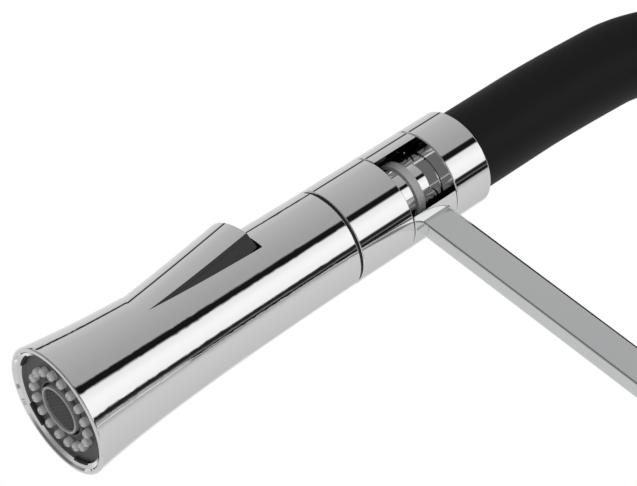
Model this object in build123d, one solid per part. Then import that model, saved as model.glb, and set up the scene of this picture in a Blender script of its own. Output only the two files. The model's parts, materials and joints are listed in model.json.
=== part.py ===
from build123d import *

import os
from math import cos, exp, hypot, pi, radians, sin, tan

# Kitchen mixer tap with a pull-out spray. Millimetres, +Z up.
# The origin is the centre of the base where it stands on the worktop.
# The column stands on the Z axis, the arm points to -Y and the cartridge and lever to +X.

# General fits
RUN_CLEAR = 0.05
SEAT_CLEAR = 0.05
MOVE_GAP = 0.3
CUT_OVER = 1.0
EDGE_TOL = 0.01
SOFT_EDGE_R = 0.3

# Layout
REACH = 240.0
CRADLE_Z = 390.0
DECK_THICKNESS = 30.0

# Spray head
HEAD_R = 16.0
SLEEVE_LEN = 21.0
SEAM_W = 1.0
SEAM_INSET = 0.6
SHELL_LEN = 101.2
RIM_R = 20.64
FLARE_RUN = 34.0
FLARE_STATIONS = 7
RIM_EDGE_R = 0.6
LIP_R = 18.25
LIP_BEVEL_W = 1.0
LIP_BEVEL_DEPTH = 1.4
SHELL_BORE_R = 13.6
INSERT_DEPTH = 12.5
CORE_END_T = 8.0
SPIGOT_LEN = 8.0
SLEEVE_TOP_WALL = 8.0

# Rocker on the spray head: places along the head are measured from the nozzle rim
ROCKER_DEG = 137.0
ROCKER_W = 25.5
ROCKER_FRONT = 35.0
ROCKER_PIVOT = 37.0
ROCKER_TAIL = 73.2
ROCKER_RISE_DEG = 8.4
PIVOT_OUT = 10.5
ROCKER_FLOOR = 8.2
ROCKER_SIDE_GAP = 0.25
ROCKER_END_GAP = 1.8
ROCKER_CAP_T = 0.6
ROCKER_SKIRT = 3.0
ROCKER_SKIRT_W = 2.0
CORE_FLAT = 6.0
PIN_R = 1.5
PIN_LEN = 20.0
PIN_SNAP_W = 2.4
LUG_R = 2.7
LUG_W = 3.0
LUG_SPREAD = 6.0
PLUNGER_AT = 57.0
PLUNGER_R = 2.5
PLUNGER_LEN = 13.0
PLUNGER_SEAL_DEPTH = 3.4
PLUNGER_SEAL_W = 1.4
PLUNGER_GROOVE = 0.6
LEAF_T = 0.4
LEAF_W = 8.0
LEAF_FOOT = 9.0
LEAF_INSET = 1.2

# Nozzle face
FACE_DEPTH = 2.5
PLATE_T = 3.0
MAT_T = 1.5
JET_COUNT = 18
JET_PITCH_R = 12.7
JET_R = 1.45
JET_ROUND_R = 1.0
JET_HOLE_R = 0.4
JET_HOLE_DEPTH = 1.5
JET_OUT = 2.2
AERATOR_R = 7.6
AERATOR_WALL = 0.7
AERATOR_INSET = 1.0
AERATOR_DEPTH = 9.0
AERATOR_RIB = 0.6
AERATOR_RINGS = 3
AERATOR_SPOKES = 4
NOTCH_COUNT = 5
NOTCH_TURN_DEG = 4.5
NOTCH_W = 7.0
NOTCH_DEPTH = 1.6

# Neck, swivel and collar
NECK_R = 9.0
NECK_BORE_R = 5.0
NECK_FLANGE_R = 11.0
NECK_FLANGE_T = 4.0
NECK_RING_R = 9.85
NECK_RING_W = 2.7
NECK_GROOVE = 0.6
VALVE_LEN = 14.0
SEAL_T = 2.0
COLLAR_LEN = 14.2
COLLAR_FLOOR_T = 1.5
COLLAR_EDGE_R = 0.5
BUSH_R = 12.5
BUSH_T = 2.2
CLIP_T = 0.8
CLIP_R = 10.4
CLIP_LIP = 0.9
NIPPLE_FLANGE_T = 1.5
NIPPLE_LEN = 24.0
NIPPLE_WALL = 1.8

# Cradle and arm
CRADLE_H = 17.5
CRADLE_OPEN_DEG = 61.3
SLOT_HALF = 10.15
LINER_T = 1.0
ARM_W = 5.6
ARM_H = 10.9
ARM_EDGE_R = 0.9
ARM_SOCKET = 1.2
ARM_SCREW_R = 1.5
ARM_SCREW_LEN = 12.0
ARM_SCREW_HEAD_R = 2.6
ARM_SCREW_HEAD_T = 1.6
CLAMP_R = 18.0
CLAMP_EDGE_R = 0.6

# Column and hose
COLUMN_R = 14.0
COLUMN_BORE_R = 11.5
FEED_R = 6.0
FEED_BORE_R = 4.8
PLUG_LEN = 12.0
HOSE_R = 13.5
HOSE_BORE_R = 6.5
HOSE_RUN = 97.0
ARCH_SIDE = 70.3
ARCH_RISE = 69.7
HOSE_ROUND = 0.45

# Body, base and fixing
BODY_R = 22.0
BODY_TOP = 160.0
BODY_EDGE_R = 4.0
SWIVEL_DEPTH = 28.0
WASHER_T = 1.5
TRIM_R = 17.0
TRIM_T = 3.0
TRIM_EDGE_R = 0.8
O_RING_W = 2.4
O_RING_DEPTH = 1.4
STOP_SCREW_R = 2.5
STOP_GROOVE = 1.1
STOP_SCREW_INSET = 1.0
FLANGE_R = 27.0
FLANGE_H = 5.0
FLANGE_EDGE_R = 1.5
GASKET_R = 25.0
GASKET_W = 3.0
GASKET_T = 1.5
SHANK_R = 15.9
SHANK_BORE_R = 12.5
SHANK_DROP = 62.0
SHANK_GRIP = 9.0
DECK_WASHER_R = 24.0
DECK_RUBBER_T = 3.0
DECK_PLATE_T = 3.0
NUT_ACROSS = 46.0
NUT_H = 10.0
NUT_CORNER = 2.1
NUT_CHAMFER_DEG = 30.0
INLET_R = 4.5
INLET_DEPTH = 16.0
INLET_SPREAD = 7.0
CHANNEL_R = 3.0

# Cartridge and lever: places along the cartridge are measured from the column axis
CARTRIDGE_Z = 95.0
BOSS_R = 21.0
BOSS_END = 42.0
SEAT_X = 9.0
CARTRIDGE_R = 17.5
CARTRIDGE_END = 34.0
CARTRIDGE_WALL = 2.3
CARTRIDGE_FLOOR = 2.0
SEAL_PLATE_T = 1.0
DISC_T = 4.0
SLIDE_DISC_R = 11.0
DISC_OFFSET = 2.0
PIVOT_X = 28.0
LIFT_DEG = 20.0
GUIDE_END = 39.0
GUIDE_NECK_R = 11.5
STEM_W = 6.0
STEM_TIP_X = 18.6
STEM_TIP_W = 5.0
STEM_END = 60.6
NUT_RING_T = 4.5
DOME_R = 24.0
DOME_WALL = 2.0
DOME_HOLE_R = 11.6
HUB_R = 19.5
HUB_NEAR_X = 44.0
HUB_END = 66.0
HUB_EDGE_R = 2.5
LEVER_X = 58.5
LEVER_SIZE = 8.3
LEVER_LEN = 100.0
LEVER_SOCKET_Z = 11.0
GRUB_R = 2.0
GRUB_LEN = 9.0
INDEX_CAP_R = 3.0
INDEX_CAP_T = 1.5
INDEX_CAP_INSET = 0.2

# Places worked out from the sizes above
HEAD_LEN = SLEEVE_LEN + SEAM_W + SHELL_LEN
HEAD_TOP_Z = CRADLE_Z - CRADLE_H / 2 - MOVE_GAP
COLLAR_Z = CRADLE_H + 2 * MOVE_GAP
BUSH_Z = COLLAR_Z + COLLAR_FLOOR_T
CLIP_Z = BUSH_Z + BUSH_T + 2 * RUN_CLEAR
NECK_TOP = CLIP_Z + CLIP_T + CLIP_LIP
NIPPLE_Z = NECK_TOP + MOVE_GAP
HOSE_SEAT = NIPPLE_Z + NIPPLE_FLANGE_T
HOSE_SEAT_Z = HEAD_TOP_Z + HOSE_SEAT
CRADLE_BORE_R = SLOT_HALF + LINER_T
SPIGOT_R = SHELL_BORE_R - SEAT_CLEAR
SWIVEL_Z = BODY_TOP - SWIVEL_DEPTH
COLUMN_FOOT = SWIVEL_Z + WASHER_T + 2 * RUN_CLEAR
COLUMN_TOP = HOSE_SEAT_Z - NIPPLE_FLANGE_T
CLAMP_TOP = CRADLE_Z + CRADLE_H / 2
FERRULE_TOP = HEAD_TOP_Z + COLLAR_Z + COLLAR_LEN
PIVOT = (PIVOT_OUT, 0, ROCKER_PIVOT - HEAD_LEN)
PLATE_BACK = FACE_DEPTH + PLATE_T
MAT_BACK = PLATE_BACK + MAT_T

HEAD = Pos(0, -REACH, HEAD_TOP_Z)
ROCKER_FRAME = Rot(0, 0, 90 - ROCKER_DEG)
CARTRIDGE = Pos(0, 0, CARTRIDGE_Z) * Rot(0, 90, 0)


def disc(radius, low, high):
    """Upright cylinder on the Z axis."""
    up = (Align.CENTER, Align.CENTER, Align.MIN)
    return Pos(0, 0, low) * Cylinder(radius, high - low, align=up)


def ring(outer, inner, low, high):
    """Upright tube on the Z axis."""
    return disc(outer, low, high) - disc(inner, low - CUT_OVER, high + CUT_OVER)


def block(x, y, z):
    """Box between the pairs of limits."""
    low = (Align.MIN, Align.MIN, Align.MIN)
    return Pos(x[0], y[0], z[0]) * Box(x[1] - x[0], y[1] - y[0], z[1] - z[0], align=low)


def turned(*points):
    """Solid turned from a closed outline of (radius, height) points."""
    outline = Polyline(*[(r, 0, z) for r, z in points], close=True)
    return revolve(make_face(outline.edges()), Axis.Z)


def soften(solid, radius, *heights):
    """Rounds the outermost circular edge of a turned solid at each height."""
    for height in heights:
        edges = solid.edges().filter_by(GeomType.CIRCLE)
        level = edges.filter_by_position(Axis.Z, height - EDGE_TOL, height + EDGE_TOL)
        solid = fillet(level.sort_by(SortBy.RADIUS)[-1], radius)
    return solid


def rod(radius, start, length, direction):
    """Cylinder from a point along a direction."""
    up = (Align.CENTER, Align.CENTER, Align.MIN)
    return Plane(origin=start, z_dir=direction) * Cylinder(radius, length, align=up)


def from_rim(distance):
    """Height in the head's frame of a place measured from the nozzle rim."""
    return distance - HEAD_LEN


def flare(distance):
    """Outer radius of the shell at a distance from the nozzle rim."""
    end = exp(-SHELL_LEN / FLARE_RUN)
    share = (exp(-distance / FLARE_RUN) - end) / (1 - end)
    return HEAD_R + (RIM_R - HEAD_R) * share


def shell_envelope(inset=0.0):
    """The shell's outside as one solid of revolution, with its seam opposite the rocker."""
    steps = [SHELL_LEN * i / (FLARE_STATIONS - 1) for i in range(FLARE_STATIONS)]
    curve = Spline(*[(flare(t) - inset, 0, from_rim(t)) for t in steps])
    top = from_rim(SHELL_LEN)
    low = -HEAD_LEN
    inside = Polyline((HEAD_R - inset, 0, top), (0, 0, top), (0, 0, low), (RIM_R - inset, 0, low))
    opposite = Rot(0, 0, 270 - ROCKER_DEG)
    return opposite * revolve(make_face(curve.edges() + inside.edges()), Axis.Z)


def rocker_underside(distance):
    """Height over the head's axis of the raised rocker's underside, at a distance from the rim."""
    rise = radians(ROCKER_RISE_DEG)
    drop = PIVOT_OUT - ROCKER_FLOOR
    along = (distance - ROCKER_PIVOT - drop * sin(rise)) / cos(rise)
    return PIVOT_OUT - drop * cos(rise) + along * sin(rise)


def rocker_space(gap):
    """Slot of the rocker, or with no gap the rocker's own block with its skirts, in the rocker's frame."""
    nose_r = hypot(ROCKER_PIVOT - ROCKER_FRONT, flare(ROCKER_FRONT) - PIVOT_OUT) + (MOVE_GAP if gap else 0)
    half = ROCKER_W / 2 + (ROCKER_SIDE_GAP if gap else 0)
    floor = CORE_FLAT if gap else ROCKER_FLOOR
    tail = ROCKER_TAIL + (ROCKER_END_GAP if gap else 0)
    above = 2 * RIM_R
    z_limits = (PIVOT[2], from_rim(tail))
    space = block((floor, above), (-half, half), z_limits)
    nose = rod(nose_r, (PIVOT_OUT, -half, PIVOT[2]), 2 * half, (0, 1, 0))
    space += nose & block((floor, above), (-half, half), (-HEAD_LEN, 0))
    skirt_x = (ROCKER_FLOOR - ROCKER_SKIRT - (MOVE_GAP if gap else 0), above)
    skirt_in = ROCKER_W / 2 - ROCKER_SKIRT_W - (MOVE_GAP if gap else 0)
    space += block(skirt_x, (skirt_in, half), z_limits)
    space += block(skirt_x, (-half, -skirt_in), z_limits)
    return space


def about_pivot(solid, degrees):
    """Turns a solid of the rocker's frame about the rocker's pin."""
    back = Pos(*[-v for v in PIVOT])
    return Pos(*PIVOT) * Rot(0, degrees, 0) * back * solid


def raised(solid):
    """Lifts a solid that is flush with the shell to the rocker's rest."""
    return ROCKER_FRAME * about_pivot(Rot(0, 0, ROCKER_DEG - 90) * solid, ROCKER_RISE_DEG)


def rocker_pin(clear=0.0):
    return rod(PIN_R + clear, (PIVOT_OUT, -PIN_LEN / 2 - clear, PIVOT[2]), PIN_LEN + 2 * clear, (0, 1, 0))


def rocker_snap():
    """Seat of the pin in the rocker, open below so that the rocker snaps on to the pin."""
    half = PIN_LEN / 2 + RUN_CLEAR
    snap = (PIVOT[2] - PIN_SNAP_W / 2, PIVOT[2] + PIN_SNAP_W / 2)
    return rocker_pin(RUN_CLEAR) + block((0, PIVOT_OUT), (-half, half), snap)


def rocker_lugs(gap=0.0):
    """Lugs of the core that carry the pin, or with a gap the room that they need in the rocker."""
    radius = LUG_R + gap
    half = LUG_W / 2 + gap
    foot = radius + (PIVOT_OUT - CORE_FLAT) * sin(radians(ROCKER_RISE_DEG)) if gap else radius
    lugs = Part()
    for side in (-LUG_SPREAD, LUG_SPREAD):
        lugs += rod(radius, (PIVOT_OUT, side - half, PIVOT[2]), 2 * half, (0, 1, 0))
        lugs += block((CORE_FLAT, PIVOT_OUT), (side - half, side + half), (PIVOT[2] - foot, PIVOT[2] + foot))
    return lugs


def plunger_hole():
    start = (-SHELL_BORE_R / 2, 0, from_rim(PLUNGER_AT))
    return rod(PLUNGER_R + RUN_CLEAR, start, 2 * SHELL_BORE_R, (1, 0, 0))


def spray_parts():
    """Pieces of the spray head, in the head's frame with its top at zero."""
    envelope = shell_envelope()
    slot = ROCKER_FRAME * rocker_space(True)
    seam = from_rim(SHELL_LEN)

    shell = envelope - disc(SHELL_BORE_R, -HEAD_LEN, seam + CUT_OVER)
    shell -= disc(LIP_R, -HEAD_LEN - CUT_OVER, from_rim(INSERT_DEPTH))
    shell = soften(shell, RIM_EDGE_R, -HEAD_LEN)
    shell = soften(shell, SOFT_EDGE_R, seam)
    bevel_top = from_rim(LIP_BEVEL_DEPTH)
    shell -= turned((0, -HEAD_LEN), (LIP_R + LIP_BEVEL_W, -HEAD_LEN), (LIP_R, bevel_top), (0, bevel_top))
    shell -= slot

    core_top = -SLEEVE_LEN - SEAM_W - SPIGOT_LEN - MOVE_GAP
    core = disc(SHELL_BORE_R - SEAT_CLEAR, from_rim(INSERT_DEPTH) + 2 * SEAT_CLEAR, core_top)
    core -= slot
    core -= disc(NECK_BORE_R, from_rim(INSERT_DEPTH + CORE_END_T), core_top + CUT_OVER)
    core -= ROCKER_FRAME * plunger_hole()
    core += ROCKER_FRAME * rocker_lugs()
    core -= ROCKER_FRAME * rocker_pin(SEAT_CLEAR)

    flush = envelope & (ROCKER_FRAME * rocker_space(False))
    rocker_body = raised(flush & shell_envelope(ROCKER_CAP_T + SEAT_CLEAR))
    rocker_body -= ROCKER_FRAME * rocker_lugs(MOVE_GAP)
    rocker_body -= ROCKER_FRAME * rocker_snap()

    plunger, plunger_seal = plunger_parts()
    return {
        "spray_shell": shell,
        "waterway_core": core,
        "rocker": raised(flush - shell_envelope(ROCKER_CAP_T)),
        "rocker_body": rocker_body,
        "rocker_pin": ROCKER_FRAME * rocker_pin(),
        "diverter_plunger": ROCKER_FRAME * plunger,
        "plunger_seal": ROCKER_FRAME * plunger_seal,
        "rocker_spring": ROCKER_FRAME * leaf_spring(),
        **sleeve_parts(),
        **nozzle_parts(),
    }


def plunger_parts():
    """Plunger that the rocker pushes into the waterway, and the seal in its groove."""
    height = from_rim(PLUNGER_AT)
    tip = rocker_underside(PLUNGER_AT - PLUNGER_R) - MOVE_GAP
    plunger = rod(PLUNGER_R, (tip - PLUNGER_LEN, 0, height), PLUNGER_LEN, (1, 0, 0))
    seal_start = (CORE_FLAT - PLUNGER_SEAL_DEPTH, 0, height)
    seal = rod(PLUNGER_R, seal_start, PLUNGER_SEAL_W, (1, 0, 0))
    seal -= rod(PLUNGER_R - PLUNGER_GROOVE, seal_start, PLUNGER_SEAL_W, (1, 0, 0))
    return plunger - seal, seal


def leaf_spring():
    """Folded leaf spring: its foot lies on the core and its free leg holds the rocker's tail up."""
    end = ROCKER_TAIL - LEAF_INSET
    fold = end - LEAF_FOOT
    tip = rocker_underside(end - 3 * LEAF_T) - MOVE_GAP
    outline = Polyline(
        (CORE_FLAT, 0, from_rim(end)),
        (CORE_FLAT, 0, from_rim(fold)),
        (CORE_FLAT + LEAF_T, 0, from_rim(fold - LEAF_T)),
        (tip, 0, from_rim(end - 3 * LEAF_T)),
        (tip - LEAF_T, 0, from_rim(end - 2 * LEAF_T)),
        (CORE_FLAT + LEAF_T, 0, from_rim(fold + 2 * LEAF_T)),
        (CORE_FLAT + LEAF_T, 0, from_rim(end)),
        close=True,
    )
    return extrude(make_face(outline.edges()), amount=LEAF_W / 2, both=True)


def sleeve_parts():
    """Rear sleeve of the head, with the neck and what it holds."""
    seam_low = -SLEEVE_LEN - SEAM_W
    spigot_low = seam_low - SPIGOT_LEN
    sleeve = turned(
        (NECK_R + SEAT_CLEAR, 0),
        (HEAD_R, 0),
        (HEAD_R, -SLEEVE_LEN),
        (SPIGOT_R, -SLEEVE_LEN),
        (SPIGOT_R, spigot_low),
        (NECK_FLANGE_R + SEAT_CLEAR, spigot_low),
        (NECK_FLANGE_R + SEAT_CLEAR, -SLEEVE_TOP_WALL),
        (NECK_R + SEAT_CLEAR, -SLEEVE_TOP_WALL),
    )
    sleeve = soften(sleeve, SOFT_EDGE_R, 0, -SLEEVE_LEN)
    flange_low = -SLEEVE_TOP_WALL - NECK_FLANGE_T
    groove_r = NECK_R - NECK_GROOVE
    ring_mid = CRADLE_H / 2 + MOVE_GAP
    ring_z = (ring_mid - NECK_RING_W / 2, ring_mid + NECK_RING_W / 2)
    neck = disc(NECK_R, -SLEEVE_TOP_WALL, NECK_TOP) + disc(NECK_FLANGE_R, flange_low, -SLEEVE_TOP_WALL)
    neck -= disc(NECK_BORE_R, flange_low - CUT_OVER, NECK_TOP + CUT_OVER)
    neck -= ring(NECK_R + CUT_OVER, groove_r, *ring_z)
    neck -= ring(NECK_R + CUT_OVER, groove_r, CLIP_Z, CLIP_Z + CLIP_T)
    seal_low = flange_low - SEAL_T
    return {
        "rear_sleeve": sleeve,
        "seam_gasket": ring(HEAD_R - SEAM_INSET, SPIGOT_R + SEAT_CLEAR, seam_low, -SLEEVE_LEN),
        "neck": neck,
        "neck_ring": ring(NECK_RING_R, groove_r, *ring_z),
        "neck_clip": ring(CLIP_R, groove_r, CLIP_Z, CLIP_Z + CLIP_T),
        "inlet_seal": ring(NECK_FLANGE_R, NECK_BORE_R, seal_low, flange_low),
        "check_valve": ring(NECK_FLANGE_R, NECK_BORE_R, seal_low - VALVE_LEN, seal_low),
    }


def nozzle_parts():
    """Spray face: plate, jets, aerator and the carrier that screws into the shell."""
    plate_r = LIP_R - SEAT_CLEAR
    hole_r = AERATOR_R + SEAT_CLEAR
    plate = ring(plate_r, hole_r, from_rim(FACE_DEPTH), from_rim(PLATE_BACK))
    mat_half = 2 * JET_R
    mat = ring(JET_PITCH_R + mat_half, JET_PITCH_R - mat_half, from_rim(PLATE_BACK), from_rim(MAT_BACK))
    jet_low = from_rim(FACE_DEPTH - JET_OUT)
    jet = soften(disc(JET_R, jet_low, from_rim(MAT_BACK)), JET_ROUND_R, jet_low)
    jet -= disc(JET_HOLE_R, jet_low - CUT_OVER, jet_low + JET_HOLE_DEPTH)
    jet = Pos(JET_PITCH_R, 0, 0) * jet
    hole = Pos(JET_PITCH_R, 0, from_rim(0)) * disc(JET_R + SEAT_CLEAR, 0, PLATE_BACK)
    for i in range(JET_COUNT):
        turn = Rot(0, 0, 360 * i / JET_COUNT)
        plate -= turn * hole
        mat += turn * jet
    notch_z = (-HEAD_LEN, from_rim(PLATE_BACK) + CUT_OVER)
    notch = block((plate_r - NOTCH_DEPTH, LIP_R), (-NOTCH_W / 2, NOTCH_W / 2), notch_z)
    for i in range(NOTCH_COUNT):
        plate -= Rot(0, 0, NOTCH_TURN_DEG + 360 * i / NOTCH_COUNT) * notch
    aerator_low = from_rim(AERATOR_INSET)
    aerator_high = from_rim(AERATOR_INSET + AERATOR_DEPTH)
    screen_r = AERATOR_R - AERATOR_WALL
    return {
        "jet_plate": plate,
        "jet_mat": mat,
        "nozzle_carrier": ring(plate_r, hole_r, from_rim(MAT_BACK), from_rim(INSERT_DEPTH)),
        "aerator_ring": ring(AERATOR_R, screen_r, aerator_low, aerator_high),
        "aerator_screen": aerator_screen(screen_r - SEAT_CLEAR, aerator_low, aerator_high),
    }


def aerator_screen(radius, low, high):
    """Aerator insert with a ribbed face set back behind its ring."""
    rib = AERATOR_RIB
    face = low + 2 * rib
    back = face + 2 * rib
    screen = disc(radius, back, high)
    for i in range(AERATOR_RINGS):
        rib_r = radius * (i + 1) / AERATOR_RINGS
        screen += ring(rib_r, rib_r - rib, face, back)
    for i in range(AERATOR_SPOKES):
        spoke = block((-radius + rib, radius - rib), (-rib / 2, rib / 2), (face, back))
        screen += Rot(0, 0, 180 * i / AERATOR_SPOKES) * spoke
    return screen


def hose_end_parts():
    """Chrome collar at the head end of the hose, in the head's frame."""
    collar_top = COLLAR_Z + COLLAR_LEN
    seat_r = HOSE_R + SEAT_CLEAR
    bush_top = BUSH_Z + BUSH_T
    mouth_r = NECK_R + MOVE_GAP
    collar = turned(
        (mouth_r + SOFT_EDGE_R, COLLAR_Z),
        (HEAD_R, COLLAR_Z),
        (HEAD_R, collar_top),
        (seat_r, collar_top),
        (seat_r, bush_top),
        (BUSH_R, bush_top),
        (BUSH_R, BUSH_Z),
        (mouth_r, BUSH_Z),
        (mouth_r, COLLAR_Z + SOFT_EDGE_R),
    )
    collar = soften(collar, COLLAR_EDGE_R, COLLAR_Z, collar_top)
    nipple = disc(seat_r - SEAT_CLEAR, NIPPLE_Z, HOSE_SEAT)
    nipple += disc(HOSE_BORE_R - SEAT_CLEAR, HOSE_SEAT, HOSE_SEAT + NIPPLE_LEN)
    nipple -= disc(HOSE_BORE_R - NIPPLE_WALL, NIPPLE_Z - CUT_OVER, HOSE_SEAT + NIPPLE_LEN + CUT_OVER)
    return {
        "hose_collar": collar,
        "swivel_bush": ring(BUSH_R - SEAT_CLEAR, NECK_R + RUN_CLEAR, BUSH_Z, bush_top),
        "head_nipple": nipple,
    }


def arm_screw_set(clear=0.0):
    """Stud at the arm's cradle end and screw at its column end, or with a clearance the holes for them."""
    opening = radians(CRADLE_OPEN_DEG)
    stud_y = (SLOT_HALF + MOVE_GAP + ARM_SCREW_R * cos(opening)) / sin(opening)
    stud_start = (0, stud_y - REACH - clear, CRADLE_Z)
    stud = rod(ARM_SCREW_R + clear, stud_start, ARM_SCREW_LEN + 2 * clear, (0, 1, 0))

    lead = 2 * CUT_OVER if clear else 0
    head_start = (0, -COLUMN_R - MOVE_GAP + lead, CRADLE_Z)
    head = rod(ARM_SCREW_HEAD_R + clear, head_start, ARM_SCREW_HEAD_T + lead + clear, (0, -1, 0))
    shank = rod(ARM_SCREW_R + clear, head_start, ARM_SCREW_LEN + lead + clear, (0, -1, 0))
    return [stud, head + shank]


def arm_bar(y_limits, clear=0.0):
    """The arm's flat bar with rounded edges, or with a clearance the sockets for it."""
    x_half = ARM_W / 2 + clear
    z_half = ARM_H / 2 + clear
    bar = block((-x_half, x_half), y_limits, (CRADLE_Z - z_half, CRADLE_Z + z_half))
    return fillet(bar.edges().filter_by(Axis.Y), ARM_EDGE_R + clear)


def arm_parts():
    """Cradle, arm and column clamp."""
    low = CRADLE_Z - CRADLE_H / 2
    high = CRADLE_Z + CRADLE_H / 2
    head_axis = Pos(0, -REACH, 0)
    opening = Rot(0, 0, 90 - CRADLE_OPEN_DEG)
    slot = block((0, 2 * HEAD_R), (-SLOT_HALF, SLOT_HALF), (low - CUT_OVER, high + CUT_OVER))
    cradle_ring = soften(ring(HEAD_R, CRADLE_BORE_R, low, high), SOFT_EDGE_R, low, high)
    liner = head_axis * (ring(CRADLE_BORE_R - SEAT_CLEAR, SLOT_HALF, low, high) - opening * slot)
    cradle = head_axis * (cradle_ring - opening * slot)
    clamp = soften(ring(CLAMP_R, COLUMN_R + SEAT_CLEAR, low, high), CLAMP_EDGE_R, low)

    arm_y = (-REACH + HEAD_R - ARM_SOCKET, -CLAMP_R + ARM_SOCKET)
    arm = arm_bar(arm_y)
    cradle -= arm_bar(arm_y, SEAT_CLEAR)
    clamp -= arm_bar(arm_y, SEAT_CLEAR)

    cradle_hole, clamp_hole = arm_screw_set(SEAT_CLEAR)
    cradle -= cradle_hole
    clamp -= clamp_hole
    arm -= cradle_hole
    arm -= clamp_hole

    grub_y = COLUMN_R + SEAT_CLEAR
    grub = rod(GRUB_R, (0, grub_y, CRADLE_Z), CLAMP_R - grub_y, (0, 1, 0))
    clamp -= rod(GRUB_R + SEAT_CLEAR, (0, 0, CRADLE_Z), 2 * CLAMP_R, (0, 1, 0))
    return {
        "cradle": cradle,
        "cradle_liner": liner,
        "arm": arm,
        "column_clamp": clamp,
        "arm_screws": Compound(children=arm_screw_set()),
        "clamp_screw": grub,
    }


def hose_route():
    """Corners of the hose's path from the column to the head."""
    corner_z = HOSE_SEAT_Z + HOSE_RUN
    arch_z = corner_z + ARCH_RISE
    return [
        (0, 0, HOSE_SEAT_Z),
        (0, 0, corner_z),
        (0, -ARCH_SIDE, arch_z),
        (0, -REACH + ARCH_SIDE, arch_z),
        (0, -REACH, corner_z),
        (0, -REACH, HOSE_SEAT_Z),
    ]


def hose():
    """Smooth hose swept along straight runs joined by large arcs."""
    points = [Vector(*p) for p in hose_route()]
    runs = [b - a for a, b in zip(points, points[1:])]
    radii = []
    for a, b in zip(runs, runs[1:]):
        half_turn = radians(a.get_angle(b)) / 2
        radii.append(HOSE_ROUND * min(a.length, b.length) / tan(half_turn))
    print("hose radii", [round(r, 1) for r in radii])
    path = FilletPolyline(*points, radius=radii)
    section = Pos(*points[0]) * (Circle(HOSE_R) - Circle(HOSE_BORE_R))
    tube = sweep(section, path=path)
    area = pi * (HOSE_R**2 - HOSE_BORE_R**2)
    print("hose length", round(path.length, 1), "volume ratio", round(tube.volume / (area * path.length), 5))
    return tube


def column_parts():
    """Swivelling column with the ferrule that holds the hose."""
    groove_r = COLUMN_R - O_RING_DEPTH
    stop_z = SWIVEL_Z + SWIVEL_DEPTH / 2
    seal_z = (SWIVEL_Z + SWIVEL_DEPTH / 4, SWIVEL_Z + SWIVEL_DEPTH * 3 / 4)
    column = ring(COLUMN_R, COLUMN_BORE_R, COLUMN_FOOT, COLUMN_TOP)
    seals = []
    for z in seal_z:
        column -= ring(COLUMN_R + CUT_OVER, groove_r, z, z + O_RING_W)
        seals.append(ring(COLUMN_R, groove_r, z, z + O_RING_W))
    stop_half = STOP_SCREW_R + 2 * RUN_CLEAR
    column -= ring(COLUMN_R + CUT_OVER, COLUMN_R - STOP_GROOVE, stop_z - stop_half, stop_z + stop_half)

    seat_r = HOSE_R + SEAT_CLEAR
    ferrule = turned(
        (COLUMN_R + SEAT_CLEAR, CLAMP_TOP),
        (HEAD_R, CLAMP_TOP),
        (HEAD_R, FERRULE_TOP),
        (seat_r, FERRULE_TOP),
        (seat_r, COLUMN_TOP),
        (COLUMN_R + SEAT_CLEAR, COLUMN_TOP),
    )
    ferrule = soften(ferrule, COLLAR_EDGE_R, FERRULE_TOP)
    bore = HOSE_BORE_R - NIPPLE_WALL
    nipple_low = COLUMN_TOP - PLUG_LEN
    nipple = disc(COLUMN_BORE_R - SEAT_CLEAR, nipple_low, COLUMN_TOP) + disc(HOSE_R, COLUMN_TOP, HOSE_SEAT_Z)
    nipple += disc(HOSE_BORE_R - SEAT_CLEAR, HOSE_SEAT_Z, HOSE_SEAT_Z + NIPPLE_LEN)
    nipple -= disc(bore, nipple_low - CUT_OVER, HOSE_SEAT_Z + NIPPLE_LEN + CUT_OVER)
    nipple -= disc(FEED_R + SEAT_CLEAR, nipple_low - CUT_OVER, nipple_low + PLUG_LEN / 2)
    feed_top = nipple_low + PLUG_LEN / 2
    plug_top = COLUMN_FOOT + PLUG_LEN
    return {
        "column": column,
        "column_seals": Compound(children=seals),
        "column_plug": ring(COLUMN_BORE_R - SEAT_CLEAR, FEED_R + SEAT_CLEAR, COLUMN_FOOT, plug_top),
        "feed_tube": ring(FEED_R, FEED_BORE_R, COLUMN_FOOT, feed_top),
        "column_ferrule": ferrule,
        "column_nipple": nipple,
        "hose": hose(),
    }


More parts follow.
